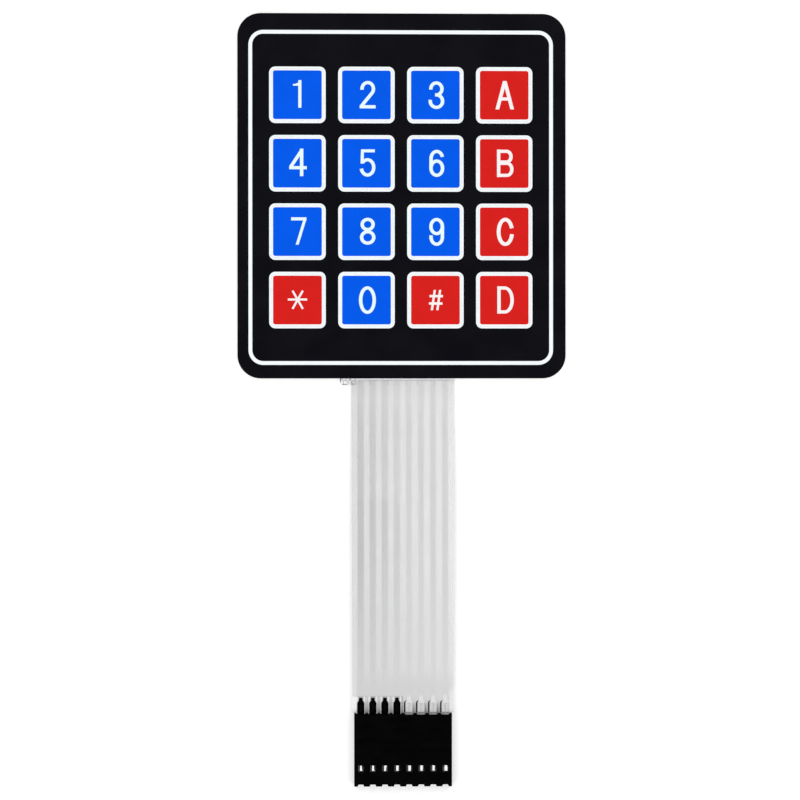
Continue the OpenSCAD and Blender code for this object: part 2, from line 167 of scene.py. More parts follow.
def stroke(path, pen, closed=False):
    """The quads of a line drawn along a path with a pen of this width and height."""
    last = len(path) - 1
    sides = []
    for i, (x, y) in enumerate(path):
        before = path[i - 1] if i or closed else path[0]
        after = path[(i + 1) % len(path)] if i < last or closed else path[last]
        dx, dy = after[0] - before[0], after[1] - before[1]
        length = math.hypot(dx, dy)
        nx, ny = -dy / length * pen[0] / 2, dx / length * pen[1] / 2
        sides.append(((x + nx, y + ny), (x - nx, y - ny)))
    pairs = zip(sides, sides[1:] + sides[:1]) if closed else zip(sides, sides[1:])
    return [[a[0], a[1], b[1], b[0]] for a, b in pairs]


def ring(cx, cy, rx, ry, pen):
    return stroke(arc(cx, cy, rx, ry, 0, 360)[:-1], pen, closed=True)


# How the triangulation keeps only what lies inside outlines, and the distance at which it joins points
KEEP_INSIDE = 1
JOIN_DISTANCE = 1e-5


def flat_area(adds, cuts=(), lines=()):
    """Points and triangles of the area inside adds and outside cuts, split along the extra lines."""
    points, faces, edges = [], [], []
    for polygon in (*adds, *cuts):
        faces.append(list(range(len(points), len(points) + len(polygon))))
        points.extend(anticlockwise(polygon))
    for line in lines:
        edges.append((len(points), len(points) + 1))
        points.extend(line)
    flat = [Vector(p) for p in points]
    found = geometry.delaunay_2d_cdt(flat, edges, faces, KEEP_INSIDE, JOIN_DISTANCE)
    new_points, triangles, faces_under = found[0], found[2], found[5]
    kept = [t for t, under in zip(triangles, faces_under) if under and max(under) < len(adds)]
    return new_points, kept


def thick_piece(name, adds, low, high, cuts=(), lines=()):
    """A closed mesh over a flat area, between two heights that follow x and y."""
    points, triangles = flat_area(adds, cuts, lines)
    used = sorted({i for t in triangles for i in t})
    place = {old: new for new, old in enumerate(used)}
    count = len(used)
    flat = [points[i] for i in used]
    verts = [(p.x * MM, p.y * MM, low(p.x, p.y) * MM) for p in flat]
    verts += [(p.x * MM, p.y * MM, high(p.x, p.y) * MM) for p in flat]
    tops = [tuple(place[i] for i in t) for t in triangles]
    faces = [t[::-1] for t in tops] + [tuple(i + count for i in t) for t in tops]
    walked = {(t[i], t[(i + 1) % 3]) for t in tops for i in range(3)}
    faces += [(a, b, b + count, a + count) for a, b in sorted(walked) if (b, a) not in walked]
    return add_mesh(name, verts, faces)


def add_mesh(name, verts, faces):
    mesh = bpy.data.meshes.new(name)
    mesh.from_pydata(verts, [], faces)
    mesh.validate()
    return add_object(name, mesh)


def add_object(name, data):
    made = bpy.data.objects.new(name, data)
    bpy.context.scene.collection.objects.link(made)
    return made


# Materials

class Nodes:
    """Short calls for the nodes of one tree."""

    # Places of the colours among a mix node's sockets
    MIX_A, MIX_B, MIX_RESULT = 6, 7, 2

    def __init__(self, tree):
        self.tree = tree

    def node(self, kind, **settings):
        made = self.tree.nodes.new(kind)
        for key, value in settings.items():
            setattr(made, key, value)
        return made

    def link(self, source, socket):
        self.tree.links.new(source, socket)

    def feed(self, socket, value):
        """Links a node's output to a socket, or sets a plain value on it."""
        if isinstance(value, bpy.types.NodeSocket):
            self.link(value, socket)
        else:
            socket.default_value = value

    def math(self, operation, a, b=0.0, clamp=False):
        made = self.node("ShaderNodeMath", operation=operation, use_clamp=clamp)
        self.feed(made.inputs[0], a)
        self.feed(made.inputs[1], b)
        return made.outputs[0]

    def times(self, *values):
        return reduce(lambda a, b: self.math("MULTIPLY", a, b), values)

    def plus(self, *values):
        return reduce(lambda a, b: self.math("ADD", a, b), values)

    def most(self, *values):
        return reduce(lambda a, b: self.math("MAXIMUM", a, b), values)

    def minus(self, a, b):
        return self.math("SUBTRACT", a, b)

    def axis(self, place, name):
        """The x, y or z of a place."""
        made = self.node("ShaderNodeSeparateXYZ")
        self.link(place, made.inputs[0])
        return made.outputs[name]

    def map_range(self, kind, *values):
        """Maps a value from a start and an end to a low and a high, clamped."""
        made = self.node("ShaderNodeMapRange", interpolation_type=kind, clamp=True)
        for socket, number in zip(made.inputs, values):
            self.feed(socket, number)
        return made.outputs[0]

    def between(self, value, start, end, low=0.0, high=1.0):
        """Maps start to low and end to high, smoothly and clamped."""
        return self.map_range("SMOOTHSTEP", value, start, end, low, high)

    def pick(self, share, a, b):
        """Value a where share is 0 and b where it is 1."""
        return self.map_range("LINEAR", share, 0, 1, a, b)

    def mix(self, share, a, b):
        """Colour a where share is 0 and b where it is 1."""
        made = self.node("ShaderNodeMix", data_type="RGBA")
        self.feed(made.inputs["Factor"], share)
        for socket, colour in ((made.inputs[self.MIX_A], a), (made.inputs[self.MIX_B], b)):
            self.feed(socket, (*colour, 1) if isinstance(colour, tuple) else colour)
        return made.outputs[self.MIX_RESULT]

    def background_rays(self):
        """1 for rays that show the background: from the camera, off metal and gloss, and through film."""
        rays = self.node("ShaderNodeLightPath").outputs
        return self.most(rays["Is Camera Ray"], rays["Is Glossy Ray"], rays["Is Transmission Ray"])


class Shader(Nodes):
    """A material, called s below. Its x, y and z are the object's own, in millimetres."""

    NOISE_ROUGHNESS = 0.55
    x = cached_property(lambda self: self.times(self.axis(self.place, "X"), 1 / MM))
    y = cached_property(lambda self: self.times(self.axis(self.place, "Y"), 1 / MM))
    z = cached_property(lambda self: self.times(self.axis(self.place, "Z"), 1 / MM))

    def __init__(self, name, **settings):
        self.material = bpy.data.materials.new(name)
        self.material.use_nodes = True
        super().__init__(self.material.node_tree)
        self.surface = self.tree.nodes["Principled BSDF"]
        for socket, value in settings.items():
            self.surface.inputs[socket.replace("_", " ")].default_value = value
        self.place = self.node("ShaderNodeTexCoord").outputs["Object"]

    def stretched(self, x=1.0, y=1.0):
        """The place for noise that is drawn out along x or y where this is under 1."""
        mapping = self.node("ShaderNodeMapping")
        self.link(self.place, mapping.inputs["Vector"])
        mapping.inputs["Scale"].default_value = (x, y, 1)
        return mapping.outputs[0]

    def noise(self, size_mm, detail=3, place=None):
        """Noise from 0 to 1, whose blobs are about this size."""
        made = self.node("ShaderNodeTexNoise")
        self.link(place or self.place, made.inputs["Vector"])
        made.inputs["Scale"].default_value = 1 / (size_mm * MM)
        made.inputs["Detail"].default_value = detail
        made.inputs["Roughness"].default_value = self.NOISE_ROUGHNESS
        return made.outputs[0]

    def spread(self, value, low=0.0, high=1.0, half=0.2):
        """Maps noise, most of which lies within half of its middle, to low and high."""
        return self.between(value, 0.5 - half, 0.5 + half, low, high)

    def set(self, socket, value):
        self.feed(self.surface.inputs[socket], value)

    def bump(self, *layers):
        """Bumps on top of each other, each a height from 0 to 1 and its depth in millimetres."""
        normal = None
        for height, depth_mm in layers:
            made = self.node("ShaderNodeBump")
            made.inputs["Distance"].default_value = depth_mm * MM
            self.link(height, made.inputs["Height"])
            if normal:
                self.link(normal, made.inputs["Normal"])
            normal = made.outputs[0]
        self.set("Normal", normal)


def shade(colour, share):
    return tuple(c * share for c in colour)


# Fine texture of the overlay, which the prints on it take up: its grain and depth
TEXTURE_SIZE = 0.16
TEXTURE_DEPTH = 0.008


def overlay_material():
    """Black polyester with the fine matt texture of a membrane keypad's face."""
    s = Shader("overlay_black", Specular_IOR_Level=0.06)
    grain = s.noise(TEXTURE_SIZE, detail=4)
    cloud = s.noise(9, detail=2)
    deep, plain, speck = (0.0024, 0.0024, 0.0044), (0.0032, 0.0032, 0.0054), (0.0052, 0.0052, 0.0084)
    black = s.mix(s.spread(cloud, half=0.15), deep, plain)
    s.set("Base Color", s.mix(s.between(grain, 0.5, 0.62), black, speck))
    s.set("Roughness", s.spread(cloud, 0.32, 0.40))
    s.bump((grain, TEXTURE_DEPTH), (s.noise(2.4, detail=1), 0.003))
    return s.material


def ink_material(name, colour, darker):
    """Opaque screen-printed ink that takes up the overlay's fine texture."""
    s = Shader(name, Specular_IOR_Level=0.04)
    grain = s.noise(TEXTURE_SIZE, detail=4)
    cloud = s.noise(5)
    ink = s.mix(s.spread(cloud, half=0.15), shade(colour, darker), colour)
    s.set("Base Color", s.mix(s.between(grain, 0.52, 0.64, 0, 0.3), ink, shade(colour, 0.9)))
    s.set("Roughness", s.spread(grain, 0.30, 0.38))
    s.bump((grain, TEXTURE_DEPTH))
    return s.material


# Places on the tail

# Here and below, a pair of lengths is the start and the end of a soft change
RIGHT_HALF = (0, 0.1)
LEFT_HALF = (0.4, 0)


def across_tail(s, left, right):
    """A value that changes evenly from the tail's left edge to its right edge."""
    return s.map_range("LINEAR", s.x, tail_left_x, tail_left_x + 2 * TAIL_ROOT_HALF_W, left, right)


def off_middle(s):
    """Distance to the right of the tail's middle."""
    return s.minus(s.x, tail_middle_x)


def right_half(s):
    return s.between(off_middle(s), *RIGHT_HALF)


def past_edge(s):
    """Distance from the panel's edge down the tail."""
    return s.minus(edge_y, s.y)


def from_connector(s):
    """Distance from the connector back up the tail."""
    return s.minus(s.y, cable_end_y)


def along_ways(s, start_x):
    """Distance to the right of start_x. It starts again from 0 at each way."""
    ways = s.math("DIVIDE", s.minus(s.x, start_x), way_pitch)
    return s.times(s.math("FRACT", ways), way_pitch)


def past_track(s):
    """Distance to the right of the middle of a point's own way, less than 0 on its left."""
    return s.minus(along_ways(s, way_x[0] - way_pitch / 2), way_pitch / 2)


def off_track(s):
    """Distance from the middle of a point's own way, to either side."""
    return s.math("ABSOLUTE", past_track(s))


# Film of the tail: where it greys towards the connector, its margins, its band of painted shade near the
# connector, and its painted shade and milk at the root
GREYING_START = 30
MARGIN = (9.5, 10.1)
PAINTED_SHADE_BAND = (10, 3.5)
ROOT_SHADE = (5, 0.5)
ROOT_MILK = (12, 1)
# Small dark ticks at the tail's root: where they stand, how far down they reach, and half their width
TICKS_X = (-6.75, -2.92, 0.92, 3.28, 6.92)
TICK_END = (1.5, 1.2)
TICK_HALF_W = (0.06, 0.14)
# Bright marks of the right contacts, measured back from the connector: their widths, side and fading end
MARK_HALF_W = 0.74
MARK_NECK_HALF_W = 0.36
MARK_SHOULDER = (2.1, 2.75)
MARK_SIDE = (0.06, 0)
MARK_END = (4.4, 1.4)
# The painted shadow as a dark line to the left of each mark, and the painted shade of the grey gap between
# marks
SHADOW_LINE_RIGHT_SIDE = (0, 0.04)
SHADOW_LINE_LEFT_SIDE = (0.38, 0.32)
SHADOW_LINE_END = (2.7, 2.4)
GAP_SHADE_END = (3.6, 0.6)
# How far past the outermost contacts the looks between two contacts still reach
OUTER_FADE = 0.3
# Painted shade on the lower film between the left contacts: how far from a track, and its end
SHADE_OFF_TRACK = (0.84, 0.98)
SHADE_END = (6.5, -0.8)


def contact_marks(s, up):
    """Marks of the right contacts in the film: bright on each, with a painted shadow as a dark line and
    painted shade in a grey gap to its left.
    """
    gap_w = way_pitch - 2 * MARK_HALF_W
    into_gap = along_ways(s, way_x[ROW_WAYS] + MARK_HALF_W)
    off = s.minus(into_gap, gap_w + MARK_HALF_W)
    half = s.between(up, *MARK_SHOULDER, MARK_HALF_W, MARK_NECK_HALF_W)
    on_mark = s.between(s.minus(s.math("ABSOLUTE", off), half), *MARK_SIDE)
    right = right_half(s)
    inner = s.times(right, s.between(s.x, way_x[-1] + OUTER_FADE, way_x[-1]))
    bright = s.times(on_mark, right, s.between(up, *MARK_END))
    to_left = s.minus(s.times(off, -1), half)
    across_shadow_line = s.times(s.between(to_left, *SHADOW_LINE_RIGHT_SIDE), s.between(to_left, *SHADOW_LINE_LEFT_SIDE))
    # Painted shadow: a dark line along the left of each mark
    line = s.times(across_shadow_line, s.between(up, *SHADOW_LINE_END), inner)
    across_gap_shade = s.times(s.between(into_gap, 0, gap_w, 1, 0.45), s.minus(1, on_mark))
    # Painted shade in the gap between two marks
    gap_shade = s.times(across_gap_shade, s.between(up, *GAP_SHADE_END), inner)
    return bright, line, gap_shade


def between_margins(s):
    """1 between the tail's margins, where its tracks run, and less on them."""
    return s.between(s.math("ABSOLUTE", off_middle(s)), *MARGIN, 1, 0.35)


def film_shader(name, left, right, at_connector):
    """The shader, tone and milk of a film. Milk is how opaque it is, and grows towards the connector."""
    s = Shader(name, Specular_IOR_Level=0.3)
    streaks = s.noise(0.5, place=s.stretched(y=0.04))
    cloud = s.noise(7, place=s.stretched(y=0.35))
    near_end = s.between(s.y, edge_y - GREYING_START, cable_end_y)
    tone = s.mix(s.spread(streaks), (0.94, 0.94, 0.942), (0.97, 0.97, 0.972))
    greyed = s.times(near_end, across_tail(s, 0.5, 0.3), between_margins(s))
    tone = s.mix(greyed, tone, (0.80, 0.80, 0.802))
    milk = s.plus(across_tail(s, left, right), s.times(near_end, at_connector))
    milk = s.plus(milk, s.spread(cloud, -0.012, 0.012))
    s.set("Roughness", s.spread(cloud, 0.3, 0.4))
    s.bump((streaks, 0.002), (cloud, 0.01))
    return s, tone, milk


def root_ticks(s, tone, down):
    """The tone with small dark ticks at the tail's root."""
    at_root = s.between(down, *TICK_END)
    for tick_x in TICKS_X:
        beside = s.math("ABSOLUTE", s.minus(s.x, tick_x))
        tick = s.times(s.between(beside, *TICK_HALF_W, 0.22, 0), at_root)
        tone = s.mix(tick, tone, (0.2, 0.2, 0.22))
    return tone


def upper_film_material():
    """The upper film: painted shade at the tail's ends, clear at its right margin, and pressed by contacts,
    with painted shade beside them.
    """
    s, tone, milk = film_shader("upper_film", left=0.26, right=0.30, at_connector=0.24)
    down = past_edge(s)
    up = from_connector(s)
    painted_shade_band = s.between(up, *PAINTED_SHADE_BAND)
    # Painted shade in a band near the connector, and at the root beside the panel's edge
    tone = s.mix(s.times(painted_shade_band, between_margins(s), 0.8), tone, (0.72, 0.72, 0.722))
    tone = s.mix(s.between(down, *ROOT_SHADE, 0, 0.2), tone, (0.62, 0.62, 0.622))
    tone = root_ticks(s, tone, down)
    milk = s.plus(milk, s.times(painted_shade_band, 0.25), s.between(down, *ROOT_MILK, 0, 0.10))
    right_margin = s.between(off_middle(s), *MARGIN)
    milk = s.minus(milk, s.times(right_margin, 0.15))
    bright, line, gap_shade = contact_marks(s, up)
    # Painted shade in the gaps between the right contacts, and a painted shadow line left of each mark
    tone = s.mix(s.times(gap_shade, 0.9), tone, (0.2, 0.2, 0.205))
    tone = s.mix(bright, tone, (0.70, 0.70, 0.71))
    s.set("Base Color", s.mix(line, tone, (0.01, 0.01, 0.011)))
    s.set("Alpha", s.math("ADD", milk, s.times(s.most(bright, line, gap_shade), 0.7), clamp=True))
    return s.material


def lower_film_material():
    """The lower film: it lies bare under the left contacts and has painted shade between them."""
    s, tone, milk = film_shader("lower_film", left=0.85, right=0.72, at_connector=0.1)
    left_half = s.between(off_middle(s), *LEFT_HALF)
    inner = s.times(left_half, s.between(s.x, way_x[0] - OUTER_FADE, way_x[0]))
    beside_track = s.between(off_track(s), *SHADE_OFF_TRACK)
    painted_shade_between = s.times(beside_track, inner, s.between(from_connector(s), *SHADE_END))
    s.set("Base Color", s.mix(s.times(painted_shade_between, 0.9), tone, (0.25, 0.25, 0.255)))
    s.set("Alpha", milk)
    return s.material


# Wrinkles of the clear adhesive's ear: their size, their lines' width as a share of it, and their start
WRINKLE_SIZE = 0.8
WRINKLE_W = (0.11, 0.02)
WRINKLES_START = (1.5, 0.6)
# The dark rim at the ear's left and foot: its widths, where it starts, and how much it sways
RIM_LEFT_W = (0.55, 0.3)
RIM_FOOT_W = (0.5, 0.3)
RIM_START = (-0.2, -1.2)
RIM_SWAY = 0.5
# The whitish lip and the dark line along it, in lengths from the lip's foot and from the tail's left edge
LIP_FOOT = (-0.1, 0)
LIP_START = (-0.3, 0.3)
LIP_LINE_FOOT = (-0.02, 0)
LIP_LINE_TOP = (0.16, 0.08)
LIP_LINE_START = (-0.1, 0.5)
# Where the adhesive turns milky at the panel's edge, under the overlay
ADHESIVE_ON_PANEL = (0.05, -0.05)


def wrinkle_lines(s, wobble):
    """Thin lines of a net of cells whose sides are bent by the wobble."""
    cells = s.node("ShaderNodeTexVoronoi", feature="DISTANCE_TO_EDGE")
    bent = s.node("ShaderNodeVectorMath", operation="MULTIPLY_ADD")
    s.link(s.place, bent.inputs[0])
    bent.inputs[1].default_value = (1, 1, 0)
    s.link(s.times(wobble, WRINKLE_SIZE * MM), bent.inputs[2])
    s.link(bent.outputs[0], cells.inputs["Vector"])
    cells.inputs["Scale"].default_value = 1 / (WRINKLE_SIZE * MM)
    return s.between(cells.outputs["Distance"], *WRINKLE_W)


def ear_rim(s, across, wobble):
    """The dark rim round the ear's left side and foot, which sways a little."""
    sway = s.times(wobble, RIM_SWAY)
    from_left = s.plus(across, sway, EAR_W)
    from_foot = s.plus(s.minus(s.y, adhesive_low.y), sway)
    rim = s.most(s.between(from_left, *RIM_LEFT_W), s.between(from_foot, *RIM_FOOT_W))
    return s.times(rim, s.between(across, *RIM_START))


def adhesive_material():
    """Clear acrylic adhesive. Its free lip is whitish with a dark edge, and its ear is wrinkled."""
    s = Shader("adhesive", Specular_IOR_Level=0.5)
    wobble = s.noise(WRINKLE_SIZE)
    across = s.minus(s.x, tail_left_x)
    from_foot = s.minus(s.y, edge_y - LIP_L)
    crease = s.times(wrinkle_lines(s, wobble), s.between(across, *WRINKLES_START))
    lip_line = s.times(s.between(from_foot, *LIP_LINE_TOP), s.between(from_foot, *LIP_LINE_FOOT))
    lip_line = s.times(lip_line, s.between(across, *LIP_LINE_START))
    dark = s.most(s.times(crease, 0.8), ear_rim(s, across, wobble), s.times(lip_line, 0.55))
    on_lip = s.times(s.between(across, *LIP_START), s.between(from_foot, *LIP_FOOT))
    on_panel = s.between(past_edge(s), *ADHESIVE_ON_PANEL)
    milk = s.between(s.most(on_lip, on_panel), 0, 1, 0.25, 0.95)
    s.set("Base Color", s.mix(dark, (0.97, 0.965, 0.98), (0.13, 0.13, 0.15)))
    s.set("Alpha", s.most(milk, s.times(dark, 0.9)))
    s.set("Roughness", s.between(crease, 0, 1, 0.2, 0.4))
    s.bump((crease, 0.02), (wobble, 0.03))
    return s.material


# Silver ink: where a track thins out, and its tab under a right contact, which widens at its shoulder
TRACK_THINS = (0.42, 0.68)
TAB_SHOULDER = (2.6, 2.1)
TAB_HALF_WS = (0.32, 0.75)
TAB_END = (4.8, 2.6)
# Where the spacer turns milky: off the tracks, and at the panel's edge
SPACER_OFF_TRACK = (0.58, 0.72)
SPACER_ON_PANEL = (0.1, 0)


def silver_material():
    """Silver-filled ink, dull and grainy. It thins out at its edges and is pressed bright by contacts."""
    s = Shader("silver_ink", Metallic=0.1, Specular_IOR_Level=0.3)
    grain = s.noise(0.09, detail=4)
    off = off_track(s)
    up = from_connector(s)
    ink = s.mix(s.spread(grain), (0.52, 0.52, 0.528), (0.60, 0.60, 0.608))
    ink = s.mix(s.between(off, *TRACK_THINS, 0, 0.6), ink, (0.85, 0.85, 0.86))
    on_tab = s.math("LESS_THAN", off, s.between(up, *TAB_SHOULDER, *TAB_HALF_WS))
    pressed = s.times(on_tab, right_half(s), s.between(up, *TAB_END))
    s.set("Base Color", s.mix(pressed, ink, (0.66, 0.66, 0.67)))
    s.set("Roughness", s.spread(grain, 0.45, 0.6))
    s.bump((grain, 0.004))
    return s.material


def spacer_material():
    """Milky polyester spacer with a tacky coating. It is clear where it covers the rows' tracks."""
    s = Shader("spacer_film", Specular_IOR_Level=0.3)
    cloud = s.noise(3)
    milky = s.most(s.between(off_track(s), *SPACER_OFF_TRACK), s.between(past_edge(s), *SPACER_ON_PANEL))
    on_track = s.mix(across_tail(s, 0, 1), (0.66, 0.66, 0.662), (0.80, 0.80, 0.802))
    tone = s.mix(milky, (0.95, 0.95, 0.952), on_track)
    s.set("Base Color", s.mix(s.spread(cloud, 0, 0.15), tone, (0.97, 0.97, 0.972)))
    s.set("Alpha", s.most(across_tail(s, 0.14, 0.95), milky))
    s.set("Roughness", s.spread(cloud, 0.4, 0.55))
    s.bump((s.noise(0.3), 0.004))
    return s.material


def liner_material():
    """Coated release paper: fibres, faint clouds and a light calendered sheen."""
    s = Shader("liner", Specular_IOR_Level=0.35)
    fibres = s.noise(0.35, detail=4, place=s.stretched(y=0.25))
    cross_fibres = s.noise(0.3, detail=4, place=s.stretched(x=0.2))
    mesh = s.times(s.plus(fibres, cross_fibres), 0.5)
    cloud = s.noise(6, detail=4)
    paper = s.mix(s.spread(cloud), (0.78, 0.73, 0.60), (0.86, 0.81, 0.69))
    s.set("Base Color", s.mix(s.between(mesh, 0.5, 0.66, 0, 0.3), paper, (0.66, 0.6, 0.48)))
    s.set("Roughness", s.spread(cloud, 0.42, 0.55))
    s.bump((mesh, 0.012), (cloud, 0.03))
    return s.material


def housing_material():
    """Black moulded thermoplastic with a fine spark-eroded texture."""
    s = Shader("housing_black", Specular_IOR_Level=0.035)
    grain = s.noise(0.07)
    flow = s.noise(1.6, place=s.stretched(x=0.4))
    deep, plain, speck = (0.0004, 0.0004, 0.0005), (0.0007, 0.0007, 0.0008), (0.0014, 0.0014, 0.0015)
    black = s.mix(s.spread(flow, half=0.15), deep, plain)
    s.set("Base Color", s.mix(s.between(grain, 0.5, 0.62), black, speck))
    s.set("Roughness", s.spread(flow, 0.28, 0.36))
    s.bump((grain, 0.004), (flow, 0.006))
    return s.material


# Contacts: heights at which the latch tang leaves the roof of the spring box, and where the crimp starts
TANG_FOOT = (2.13, 2.17)
CRIMP_START = (-1.0, -0.4)
# The tang turns down towards its right, along a line that sways, and painted shade darkens it there
TANG_BEND = (0.55, 0.63)
TANG_SWAY = 0.6


def tang_colour(s, blotches):
    """Bright tin on the latch tang, with painted shade from where it turns away from the light."""
    bright = s.mix(s.spread(blotches), (0.80, 0.80, 0.81), (0.90, 0.90, 0.91))
    swaying = s.plus(past_track(s), s.times(s.noise(2.2, detail=0), TANG_SWAY))
    return s.mix(s.between(swaying, *TANG_BEND), bright, (0.03, 0.03, 0.031))


def contact_material(name, crimp_colour, crimp_metallic):
    """Stamped tin-plated sheet with fine rolling lines: bright on the latch tang, with painted shade on its
    box.
    """
    s = Shader(name)
    lines = s.noise(0.05, place=s.stretched(y=0.06))
    blotches = s.noise(0.5)
    # Painted shade on the spring box below the tang
    tin_with_painted_shade = s.mix(s.between(s.z, *TANG_FOOT), (0.20, 0.20, 0.21), tang_colour(s, blotches))
    crimp = s.mix(s.spread(blotches), shade(crimp_colour, 0.92), crimp_colour)
    outside = s.between(from_connector(s), *CRIMP_START)
    s.set("Base Color", s.mix(outside, tin_with_painted_shade, crimp))
    s.set("Metallic", s.between(outside, 0, 1, 1, crimp_metallic))
    s.set("Roughness", s.spread(lines, 0.22, 0.36))
    s.bump((lines, 0.003), (blotches, 0.006))
    return s.material


def paint(material, *nodes):
    """Gives CAD nodes this material."""
    for name in nodes:
        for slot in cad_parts[name].material_slots:
            slot.material = material


def paint_nodes():
    """Materials for the CAD nodes that stay."""
    paint(overlay_material(), "graphic_overlay")
    paint(ink_material("print_white", (0.915, 0.96, 0.98), 0.97), "print_border", "print_key_frames")
    paint(ink_material("print_blue", (0.0002, 0.102, 0.83), 0.95), "print_blue_fields")
    paint(ink_material("print_red", (0.68, 0.0145, 0.0120), 0.96), "print_red_fields")
    traces = [f"{line}_{i}_trace" for line in ("row", "column") for i in range(1, len(KEYS) + 1)]
    paint(silver_material(), *traces)
    paint(spacer_material(), "spacer")
    paint(adhesive_material(), "rear_adhesive")
    paint(liner_material(), "release_liner")
    paint(housing_material(), "connector_housing")
    contacts = [f"contact_{i}" for i in range(1, WAYS + 1)]
    # The left contacts are the same tin as the right ones, and their crimps get near-black painted shade
    paint(contact_material("contact_dark", (0.006, 0.006, 0.007), 1.0), *contacts[:ROW_WAYS])
    paint(contact_material("contact_bright", (0.74, 0.74, 0.75), 0.15), *contacts[ROW_WAYS:])


# Pieces

def add_piece(piece, material, slot, *replaced):
    """Puts a new piece on the keypad's body, in its material."""
    piece.data.materials.append(material)
    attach(piece, "root")
    if replaced:
        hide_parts(*replaced)


def smooth_step(t):
    t = min(1, max(0, t))
    return t * t * (3 - 2 * t)


tail_low_z = spacer_z + SPACER_T / 2
tail_high_z = (housing_low.z + housing_high.z) / 2
rise_y = edge_y - TAIL_RISE_START


def tail_z(y):
    """Height of the tail's middle."""
    return tail_low_z + (tail_high_z - tail_low_z) * smooth_step((rise_y - y) / TAIL_RISE_L)


def station_lines():
    """Lines across the tail at which it bends, as the CAD model's does."""
    half = TAIL_ROOT_HALF_W + LINE_OVERHANG
    ys = [rise_y - TAIL_RISE_L * i / TAIL_RISE_STEPS for i in range(TAIL_RISE_STEPS + 1)]
    return [((tail_middle_x - half, y), (tail_middle_x + half, y)) for y in ys]


def tail_half_w(y):
    share = (edge_y - y) / (edge_y - cable_end_y)
    return TAIL_ROOT_HALF_W + (TAIL_END_HALF_W - TAIL_ROOT_HALF_W) * share


def panel_plan():
    return rounded_box(panel_low.x, panel_high.x, panel_low.y, panel_high.y, PANEL_CORNER_R)


def film_plan(left_cut, right_cut):
    """The panel's outline, and the tail's with its two halves cut back at the connector."""
    x = tail_middle_x
    left_y, right_y = cable_end_y + left_cut, cable_end_y + right_cut
    tail = [
        (x - TAIL_ROOT_HALF_W, edge_y + TAIL_OVERLAP),
        (x - TAIL_ROOT_HALF_W, edge_y),
        (x - tail_half_w(left_y), left_y),
        (x, left_y),
        (x, right_y),
        (x + tail_half_w(right_y), right_y),
        (x + TAIL_ROOT_HALF_W, edge_y),
        (x + TAIL_ROOT_HALF_W, edge_y + TAIL_OVERLAP),
    ]
    return [panel_plan(), tail]


def add_films():
    """The two circuit films. Each stays a hair's breadth clear of the inks, so that they show through it."""
    half = SPACER_T / 2
    upper = thick_piece(
        "upper_film", film_plan(UPPER_CUT_L, 0),
        lambda x, y: tail_z(y) + half + CLEARANCE, lambda x, y: tail_z(y) + half + FILM_T,
        lines=station_lines())
    lower = thick_piece(
        "lower_film", film_plan(0, LOWER_CUT_L),
        lambda x, y: tail_z(y) - half - FILM_T, lambda x, y: tail_z(y) - half - CLEARANCE,
        lines=station_lines())
    add_piece(upper, upper_film_material(), "film", "upper_circuit_film")
    add_piece(lower, lower_film_material(), "film", "lower_circuit_film")


def key_centres():
    """The middle of each key and its legend."""
    pitch_x = (frames_high.x - frames_low.x - KEY_W) / (len(KEYS[0]) - 1)
    pitch_y = (frames_high.y - frames_low.y - KEY_W) / (len(KEYS) - 1)
    for row, names in enumerate(KEYS):
        for column, name in enumerate(names):
            x = frames_low.x + KEY_W / 2 + column * pitch_x
            y = frames_high.y - KEY_W / 2 - row * pitch_y
            yield x, y, name


def crinkle(x, y):
    """Small height for the free edge of the adhesive."""
    free = smooth_step((edge_y - y) / CRINKLE_START_L)
    wave = noise.noise(Vector((x * CRINKLES_PER_MM[0], y * CRINKLES_PER_MM[1], 0)))
    return CRINKLE_DEPTH * free * (wave + CRINKLE_LIFT)


def net_lines():
    """The fine net on the adhesive's free edge, whose points are crinkled."""
    left = tail_left_x - NET_LEFT_L
    right = tail_left_x + 2 * TAIL_ROOT_HALF_W + LINE_OVERHANG
    foot = edge_y - NET_STEP * (NET_ROWS + 1)
    rows = [edge_y - NET_STEP * i for i in range(1, NET_ROWS + 1)]
    columns = [tail_left_x - EAR_W - NET_STEP + NET_STEP * i for i in range(NET_COLUMNS)]
    return [((left, y), (right, y)) for y in rows] + [((x, foot), (x, edge_y)) for x in columns]


def add_clear_adhesive():
    """The adhesive under the overlay: its lip over the tail's root and its ear beside it are crinkled."""
    w = ADHESIVE_HOLE_W / 2
    holes = [rounded_box(x - w, x + w, y - w, y + w, ADHESIVE_HOLE_R) for x, y, _ in key_centres()]
    lip = box(tail_left_x, tail_left_x + 2 * TAIL_ROOT_HALF_W, edge_y - LIP_L, edge_y + TAIL_OVERLAP)
    ear_x0, ear_x1 = tail_left_x - EAR_W, tail_left_x + 2 * EAR_R
    ear = rounded_box(ear_x0, ear_x1, adhesive_low.y, edge_y + 2 * EAR_R, EAR_R)
    base = adhesive_low.z + CLEARANCE
    piece = thick_piece(
        "clear_adhesive", [panel_plan(), lip, ear],
        lambda x, y: base, lambda x, y: adhesive_high.z - CLEARANCE / 2 + crinkle(x, y),
        cuts=holes, lines=net_lines())
    add_piece(piece, adhesive_material(), "adhesive", "overlay_adhesive")


# Width and height of the pens that draw the legends
PEN = (0.72, 0.67)
BROAD_PEN = (0.8, 0.74)
THIN_PEN = (0.48, 0.5)
SLANT_PEN = (0.44, 0.43)


def bar(x0, x1, y, height=PEN[1]):
    """A level stroke."""
    return [box(x0, x1, y - height / 2, y + height / 2)]


def leg(top, foot, width=PEN[0]):
    """An upright or leaning stroke whose ends are level."""
    half = width / 2
    (x0, y0), (x1, y1) = top, foot
    return [[(x0 - half, y0), (x1 - half, y1), (x1 + half, y1), (x0 + half, y0)]]


